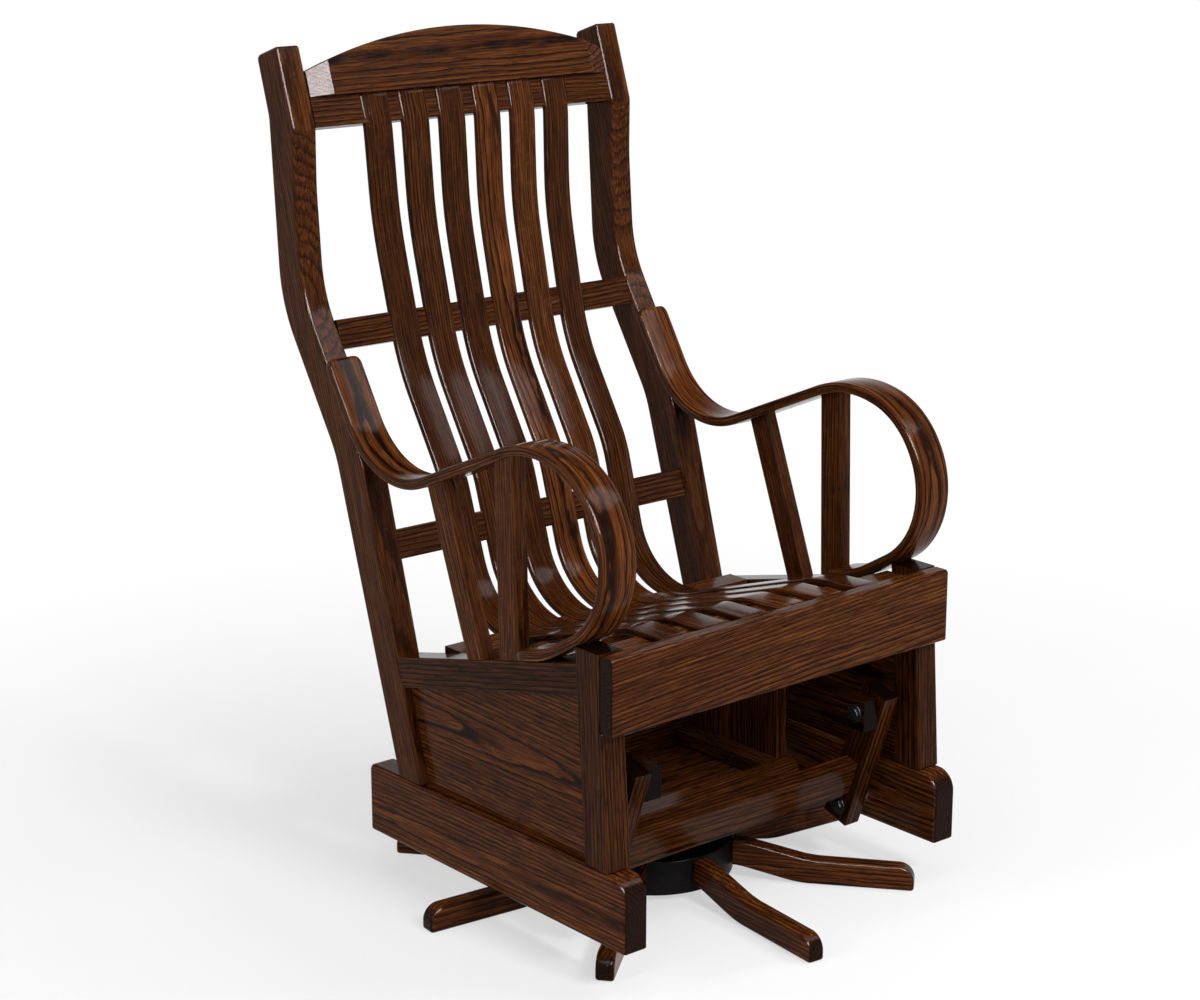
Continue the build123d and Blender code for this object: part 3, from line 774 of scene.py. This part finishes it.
def routePoints(corners, radii):
    # Each corner is replaced by the arc tangent to its two runs; straights and arcs are then
    # sampled evenly. Gives places, left-hand normals and the length run so far.
    corners = np.array(corners, float)
    stretches = []
    start = corners[0]
    for before, corner, after, radius in zip(corners, corners[1:], corners[2:], radii):
        inward = (corner - before) / np.linalg.norm(corner - before)
        outward = (after - corner) / np.linalg.norm(after - corner)
        turn = math.atan2(inward[0] * outward[1] - inward[1] * outward[0], inward @ outward)
        reach = radius * math.tan(abs(turn) / 2)
        entry = corner - inward * reach
        share = np.linspace(0, 1, straightSteps(start, entry), endpoint=False)[:, None]
        stretches.append(start + (entry - start) * share)
        bends = max(stripGrid["leastBends"], math.ceil(math.degrees(abs(turn)) / stripGrid["arcStep"]))
        angle = np.linspace(0, turn, bends, endpoint=False)[:, None]
        left = np.array([-inward[1], inward[0]]) * math.copysign(1, turn)
        centre = entry + left * radius
        stretches.append(centre + radius * (np.sin(np.abs(angle)) * inward - np.cos(angle) * left))
        start = corner + outward * reach
    share = np.linspace(0, 1, straightSteps(start, corners[-1]) + 1)[:, None]
    stretches.append(start + (corners[-1] - start) * share)
    places = np.concatenate(stretches)
    ways = np.gradient(places, axis=0)
    ways /= np.linalg.norm(ways, axis=1)[:, None]
    normals = np.stack([-ways[:, 1], ways[:, 0]], axis=1)
    lengths = np.concatenate([[0], np.cumsum(np.linalg.norm(np.diff(places, axis=0), axis=1))])
    return places, normals, lengths


def quarterTurn(steps):
    return np.linspace(0, math.pi / 2, steps + 1)


def roundedProfile(width, thickness, edge):
    # A rectangle whose corners are quarter circles, counterclockwise: across first, then depth.
    steps = quarterTurn(stripGrid["cornerSteps"])
    quarter = np.stack([np.cos(steps), np.sin(steps)], axis=1) * edge
    inner = np.array([width / 2 - edge, thickness / 2 - edge])
    corners = []
    for turn, signs in enumerate(((1, 1), (-1, 1), (-1, -1), (1, -1))):
        spin = turn * math.pi / 2
        rotate = np.array([[math.cos(spin), math.sin(spin)], [-math.sin(spin), math.cos(spin)]])
        corners.append(quarter @ rotate + inner * np.array(signs))
    return np.concatenate(corners)


def stripMesh(name, values, offset, headRound=0.0):
    # The profile swept along the route: place + across * x + depth * normal. Near each end the
    # profile draws in along a quarter circle, and at a rounded head its width does so too.
    places, normals, lengths = routePoints(values["corners"], values["radii"])
    total = lengths[-1]
    edge = values["edge"]
    caps = edge * (1 - np.cos(quarterTurn(stripGrid["cornerSteps"])[:-1]))
    extra = [caps, total - caps]
    if headRound:
        extra.append(headRound * (1 - np.cos(quarterTurn(stripGrid["headSteps"]))))
    run = np.unique(np.concatenate([lengths, *extra]))
    carried = [np.interp(run, lengths, column) for column in (*places.T, *normals.T)]
    placeY, placeZ, normalY, normalZ = carried
    fromEnd = np.minimum(np.minimum(run, total - run), edge)
    drawn = edge - np.sqrt(np.maximum(edge ** 2 - (edge - fromEnd) ** 2, 0))
    fromHead = np.minimum(run, headRound) if headRound else run * 0
    narrowed = headRound - np.sqrt(np.maximum(headRound ** 2 - (headRound - fromHead) ** 2, 0))
    profile = roundedProfile(values["width"], values["thickness"], edge)
    half = np.array([values["width"], values["thickness"]]) / 2
    shrink = np.maximum(drawn, narrowed) / half[0]
    across = profile[None, :, 0] * (1 - shrink[:, None])
    depth = profile[None, :, 1] * (1 - drawn[:, None] / half[1]) + offset
    grid = np.stack(
        [
            across,
            placeY[:, None] + normalY[:, None] * depth,
            placeZ[:, None] + normalZ[:, None] * depth,
        ],
        axis=2,
    )
    rows, columns = grid.shape[:2]
    index = np.arange(rows * columns).reshape(rows, columns)
    ring = np.roll(index, -1, axis=1)
    quads = np.stack([index[:-1], index[1:], ring[1:], ring[:-1]], axis=2).reshape(-1, 4)
    faces = quads.tolist() + [index[0].tolist(), index[-1][::-1].tolist()]
    mesh = bpy.data.meshes.new(name)
    mesh.from_pydata(grid.reshape(-1, 3).tolist(), [], faces)
    grain = np.stack(np.broadcast_arrays(depth - offset, across, run[:, None]), axis=2)
    return mesh, grid.reshape(-1, 3), grain.reshape(-1, 3)


def finishStrip(node, mesh, places, grain, values, tone, cut):
    # The places go into the mesh at once, and the grain frame and the veneers into attributes.
    mesh.vertices.foreach_set("co", places.astype(np.float32).ravel())
    veneers = values.get("veneers", 0)
    if veneers:
        skin = oakFinish["veneerSkin"]
        layer = np.clip((grain[:, 0] / values["thickness"] + 0.5) * veneers, skin, veneers - skin)
        attribute = mesh.attributes.new("layer", "FLOAT", "POINT")
        attribute.data.foreach_set("value", layer.astype(np.float32))
    offset, tilts = pithPlace(cut)
    grain = grain + np.array(offset)
    grain[:, :2] += (grain[:, 2:] - offset[2]) * np.tan(tilts)
    attribute = mesh.attributes.new("grain", "FLOAT_VECTOR", "POINT")
    attribute.data.foreach_set("vector", grain.astype(np.float32).ravel())
    mesh.shade_smooth()
    piece = addObject(node + "Finished", mesh)
    turnOutwards(mesh)
    figure = cuts[cut]["figure"]
    material = oakMaterial(node + "Oak", values["ringSpacing"], tone, figure, laminated=veneers > 0)
    dress(piece, node, material)


slat = {
    "width": 0.044,
    "thickness": 0.009,
    "edge": 0.0026,
    "count": 6,
    "spacing": 0.0562,
    "spreadUp": 0.01507,         # what the spacing gains per metre of height
    "spreadForward": 0.0216,     # and per metre towards the front
    "turnAbout": (0.182, 0.325),  # y and z of the point about which the outer slats splay
    "corners": [                 # y and z of the route along the lower face, from the head
        (0.407, 1.060),
        (0.394, 1.015),
        (0.386, 0.880),
        (0.340, 0.690),
        (0.250, 0.545),
        (0.182, 0.325),
        (-0.162, 0.434),
        (-0.2405, 0.438),
    ],
    "radii": [0.120, 0.500, 0.300, 0.200, 0.108, 0.080],
    "ringSpacing": 0.0038,
    "tones": (0.46, 0.52, 0.46, 0.86, 0.76, 0.52),
    "cuts": ("quarter", "rift", "quarter", "flat", "quarter", "rift"),
}


def makeSlat(number):
    place = number - (slat["count"] - 1) / 2
    name = f"slat_{number + 1}"
    mesh, places, grain = stripMesh(name, slat, slat["thickness"] / 2)
    centreY, centreZ = slat["turnAbout"]
    spread = slat["spacing"] + slat["spreadUp"] * centreZ - slat["spreadForward"] * centreY
    tilt = math.atan(place * slat["spreadUp"])
    splay = math.atan(place * slat["spreadForward"])
    turn = Matrix.Rotation(splay, 3, "Z") @ Matrix.Rotation(tilt, 3, "Y")
    centre = np.array([0.0, centreY, centreZ])
    places = (places - centre) @ np.array(turn).T + centre + np.array([place * spread, 0, 0])
    finishStrip(name, mesh, places, grain, slat, slat["tones"][number], slat["cuts"][number])


for number in range(slat["count"]):
    makeSlat(number)
print("slats made")


arm = {
    "width": 0.053,
    "thickness": 0.014,
    "edge": 0.0035,
    "outer": 0.303,              # from the middle of the chair to the arm's outer edge
    "headRound": 0.012,
    "corners": [                 # y and z of the route along its middle, from the head
        (0.3274, 0.7130),
        (0.2197, 0.5415),
        (-0.1013, 0.6783),
        (-0.2068, 0.6522),
        (-0.2900, 0.5041),
        (-0.1360, 0.4128),
        (-0.0839, 0.4002),
    ],
    "radii": [0.132, 0.158, 0.119, 0.117, 0.150],
    "veneers": 4,
    "ringSpacing": 0.0048,
    "tone": 0.92,
    "cut": "flat",
}


def makeArm(side, sign):
    name = f"arm_{side}"
    mesh, places, grain = stripMesh(name, arm, 0.0, arm["headRound"])
    middle = sign * (arm["outer"] - arm["width"] / 2)
    places = places * np.array([sign, 1, 1]) + np.array([middle, 0, 0])
    finishStrip(name, mesh, places, grain, arm, arm["tone"], arm["cut"])


makeArm("left", 1)
makeArm("right", -1)
print("arms made")


# stage and light

stage = {
    "floorSize": 80.0,
    "floorColour": (0.86, 0.86, 0.86),
    "paleColour": (1.0, 1.0, 1.0),
    "nearShare": 0.55,           # how much of the pale tone lies over the floor at the chair
    "fadeFrom": 0.45,            # metres from the chair between which it takes over
    "fadeTo": 1.8,
    "ambient": 0.30,
    "zenithTone": (0.10, 0.10, 0.105),
    "zenithRange": (0.25, 0.70),  # heights in the sky, as a sine, between which it takes over
}
plainLight = (1.0, 1.0, 1.0)
lamps = {
    # places and sizes in metres, power in watts
    "overhead": {
        "place": (-0.4, -0.5, 3.3), "size": (2.2, 2.2), "power": 26.0, "colour": plainLight,
    },
    "key": {
        "place": (0.09, -3.34, 2.92), "size": (0.6, 0.8), "power": 82.0, "colour": plainLight,
    },
    "gloss": {
        "place": (-1.35, -3.05, 3.05), "size": (4.2, 1.7), "power": 2500.0,
        "colour": (1.0, 0.95, 1.0),
    },
    "right": {
        "place": (1.78, -1.41, 2.96), "size": (1.2, 1.1), "power": 44.0,
        "colour": (1.0, 0.97, 0.99),
    },
    "left": {
        "place": (-3.2, 0.3, 1.7), "size": (0.30, 1.0), "power": 30.0, "colour": plainLight,
    },
}
# the wide softbox over the camera only shows mirrored in the lacquer
glossOnly = ("gloss",)
aim = Vector((0.0, 0.05, 0.6))


def seenDirectly(tree):
    # one where the camera, a reflection or a see-through ray looks, nought for light itself;
    # then the same for the camera alone
    path = addNode(tree, "ShaderNodeLightPath")
    eye = path.outputs["Is Camera Ray"]
    seen = mathNode(tree, "MAXIMUM", eye, path.outputs["Is Glossy Ray"])
    return mathNode(tree, "MAXIMUM", seen, path.outputs["Is Transmission Ray"]), eye


def makeFloor():
    # The floor keeps the chair's shadow, and fades with distance into the plain pale tone.
    half = stage["floorSize"] / 2
    mesh = bpy.data.meshes.new("floor")
    corners = [(-half, -half, 0), (half, -half, 0), (half, half, 0), (-half, half, 0)]
    mesh.from_pydata(corners, [], [(0, 1, 2, 3)])
    floor = addObject("floor", mesh)
    material, tree = newMaterial("paleFloor")[:2]
    tree.nodes.clear()
    lit = addNode(tree, "ShaderNodeBsdfDiffuse")
    lit.inputs["Color"].default_value = (*stage["floorColour"], 1.0)
    pale = addNode(tree, "ShaderNodeEmission")
    pale.inputs["Color"].default_value = (*stage["paleColour"], 1.0)
    source = addNode(tree, "ShaderNodeTexCoord")
    reach = addNode(tree, "ShaderNodeVectorMath", operation="LENGTH")
    join(tree, source.outputs["Object"], reach.inputs[0])
    fade = (stage["fadeFrom"], stage["fadeTo"], stage["nearShare"], 1.0)
    share = greyRamp(tree, reach.outputs["Value"], *fade)
    seen = seenDirectly(tree)[0]
    mix = addNode(tree, "ShaderNodeMixShader")
    join(tree, mathNode(tree, "MULTIPLY", share, seen), mix.inputs[0])
    join(tree, lit.outputs[0], mix.inputs[1])
    join(tree, pale.outputs[0], mix.inputs[2])
    output = addNode(tree, "ShaderNodeOutputMaterial")
    join(tree, mix.outputs[0], output.inputs["Surface"])
    mesh.materials.append(material)


def makeWorld():
    # Pale to the eye; a reflection sees it pale at the horizon and darker overhead.
    world = bpy.data.worlds.new("studio")
    bpy.context.scene.world = world
    world.use_nodes = True
    tree = world.node_tree
    tree.nodes.clear()
    seen, eye = seenDirectly(tree)
    way = addNode(tree, "ShaderNodeTexCoord")
    parts = addNode(tree, "ShaderNodeSeparateXYZ")
    join(tree, way.outputs["Generated"], parts.inputs[0])
    height = greyRamp(tree, parts.outputs["Z"], *stage["zenithRange"])
    mirrored = blendColours(tree, height, stage["paleColour"], stage["zenithTone"])
    tone = blendColours(tree, eye, mirrored, stage["paleColour"])
    light = addNode(tree, "ShaderNodeBackground")
    light.inputs["Color"].default_value = (*plainLight, 1.0)
    light.inputs["Strength"].default_value = stage["ambient"]
    shown = addNode(tree, "ShaderNodeBackground")
    join(tree, tone, shown.inputs["Color"])
    shown.inputs["Strength"].default_value = 1.0
    mix = addNode(tree, "ShaderNodeMixShader")
    join(tree, seen, mix.inputs[0])
    join(tree, light.outputs[0], mix.inputs[1])
    join(tree, shown.outputs[0], mix.inputs[2])
    output = addNode(tree, "ShaderNodeOutputWorld")
    join(tree, mix.outputs[0], output.inputs["Surface"])


def makeLamp(name, values):
    data = bpy.data.lights.new(name, "AREA")
    data.shape = "RECTANGLE"
    data.size, data.size_y = values["size"]
    data.energy = values["power"]
    data.color = values["colour"]
    lamp = addObject(name, data)
    lamp.visible_camera = False
    lamp.visible_diffuse = name not in glossOnly
    lamp.location = values["place"]
    lamp.rotation_euler = (Vector(values["place"]) - aim).to_track_quat("Z", "Y").to_euler()


makeFloor()
makeWorld()
for name, values in lamps.items():
    makeLamp(name, values)
print("stage and lamps set")
